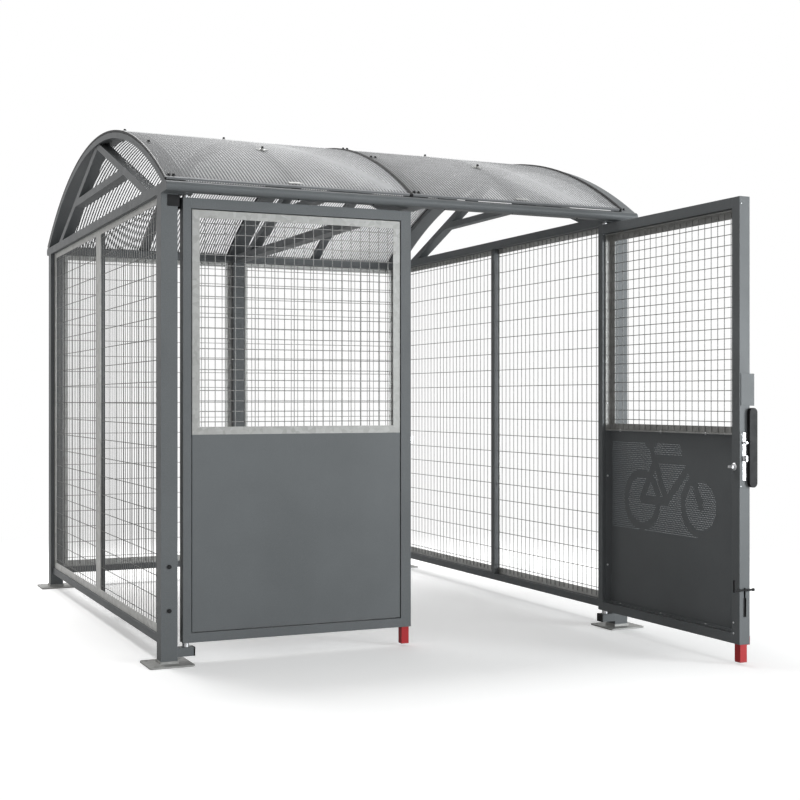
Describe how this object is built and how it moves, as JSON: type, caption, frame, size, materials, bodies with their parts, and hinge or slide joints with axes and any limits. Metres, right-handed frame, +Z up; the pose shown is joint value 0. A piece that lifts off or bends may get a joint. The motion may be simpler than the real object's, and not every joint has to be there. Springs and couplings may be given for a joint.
{
  "type": "motorcycle storage compound",
  "caption": "Free-standing motorcycle storage compound with mesh walls, an arched translucent roof on trusses, and swing doors with mesh windows, drop bolts and a lock.",
  "frame": {"origin": "on the ground at the centre of the rectangle of the corner posts", "axes": "+X along the front to the viewer's right, +Y from the doors to the back wall, +Z up"},
  "size_m": [2.755, 4.1996, 2.75],
  "materials": {
    "frame_paint": "satin dark grey powder coat",
    "panel_paint": "satin dark grey powder coat on folded sheet",
    "galvanised": "hot dip galvanised, mottled and matt",
    "wire_zinc": "galvanised welded wire, matt",
    "stainless": "brushed stainless",
    "black_plastic": "fine matt grain",
    "rubber": "matt",
    "red_paint": "gloss red, worn at the edges",
    "roof_sheet": "translucent twin wall polycarbonate"
  },
  "bodies": {
    "compound": {"base_plates": "galvanised", "front_left_post": "frame_paint", "front_right_post": "frame_paint", "back_left_post": "frame_paint", "back_right_post": "frame_paint", "back_middle_post": "frame_paint", "side_middle_posts": "frame_paint", "side_bottom_rails": "frame_paint", "back_bottom_rails": "frame_paint", "left_top_tie": "frame_paint", "right_top_tie": "frame_paint", "middle_roof_tie": "frame_paint", "back_top_rail": "frame_paint", "front_eave_beam": "frame_paint", "back_eave_beam": "frame_paint", "left_gable_arch": "frame_paint", "middle_arch": "frame_paint", "right_gable_arch": "frame_paint", "roof_rafters": "frame_paint", "truss_struts": "frame_paint", "truss_collars": "frame_paint", "left_roof_sheet": "roof_sheet", "right_roof_sheet": "roof_sheet", "sheet_strips": "rubber", "sheet_gaskets": "rubber", "sheet_clamps": "galvanised", "left_mesh_frames": "galvanised", "right_mesh_frames": "galvanised", "back_mesh_frames": "galvanised", "left_mesh_wires": "wire_zinc", "right_mesh_wires": "wire_zinc", "back_mesh_wires": "wire_zinc", "pivot_arms": "frame_paint", "arm_caps": "black_plastic", "pivot_pins": "stainless", "top_pivot_plates": "frame_paint", "door_stops": "black_plastic", "post_bolts": "black_plastic"},
    "left_door": {"left_door_stiles": "frame_paint", "left_door_rails": "frame_paint", "left_window_frame": "galvanised", "left_window_wires": "wire_zinc", "left_door_panel": "panel_paint", "left_strike": "stainless", "left_buffer": "rubber"},
    "left_bolt": {"left_drop_bolt": "red_paint", "left_bolt_handle": "black_plastic"},
    "right_door": {"right_door_stiles": "frame_paint", "right_door_rails": "frame_paint", "right_window_frame": "galvanised", "right_window_wires": "wire_zinc", "right_door_panel": "panel_paint", "lock_case": "stainless", "guard_plate": "galvanised", "pull_handle": "black_plastic"},
    "right_bolt": {"right_drop_bolt": "red_paint", "right_bolt_handle": "black_plastic"},
    "latch": {"latch_bolt": "stainless"},
    "dead_bolt": {"dead_bolt": "stainless"},
    "knob": {"turn_knob": "stainless"}
  },
  "joints": [
    {"name": "left_door_swing", "type": "hinge", "parent": "compound", "child": "left_door", "pos_m": [-1.183, -1.455, 0.1], "axis": [0, 0, -1], "range_deg": [-0.95, 94]},
    {"name": "right_door_swing", "type": "hinge", "parent": "compound", "child": "right_door", "pos_m": [1.183, -1.455, 0.1], "axis": [0, 0, 1], "range_deg": [-90.6, 4.4]},
    {"name": "left_bolt_drop", "type": "slide", "parent": "left_door", "child": "left_bolt", "axis": [0, 0, -1], "range_m": [0, 0.085]},
    {"name": "right_bolt_drop", "type": "slide", "parent": "right_door", "child": "right_bolt", "axis": [0, 0, -1], "range_m": [0, 0.085]},
    {"name": "latch_press", "type": "slide", "parent": "right_door", "child": "latch", "axis": [0.0105, -0.9999, 0], "range_m": [-0.018, 0], "stiffness_N_per_m": 400, "springref_m": 0.005},
    {"name": "dead_bolt_throw", "type": "slide", "parent": "right_door", "child": "dead_bolt", "axis": [0.0105, -0.9999, 0], "range_m": [-0.019, 0]},
    {"name": "knob_turn", "type": "hinge", "parent": "right_door", "child": "knob", "pos_m": [1.16476, -2.57825, 0.937], "axis": [-0.9999, -0.0105, 0], "range_deg": [0, 90]}
  ],
  "couplings": [
    {"joint": "dead_bolt_throw", "follows": "knob_turn", "m_per_rad": -0.01209}
  ]
}
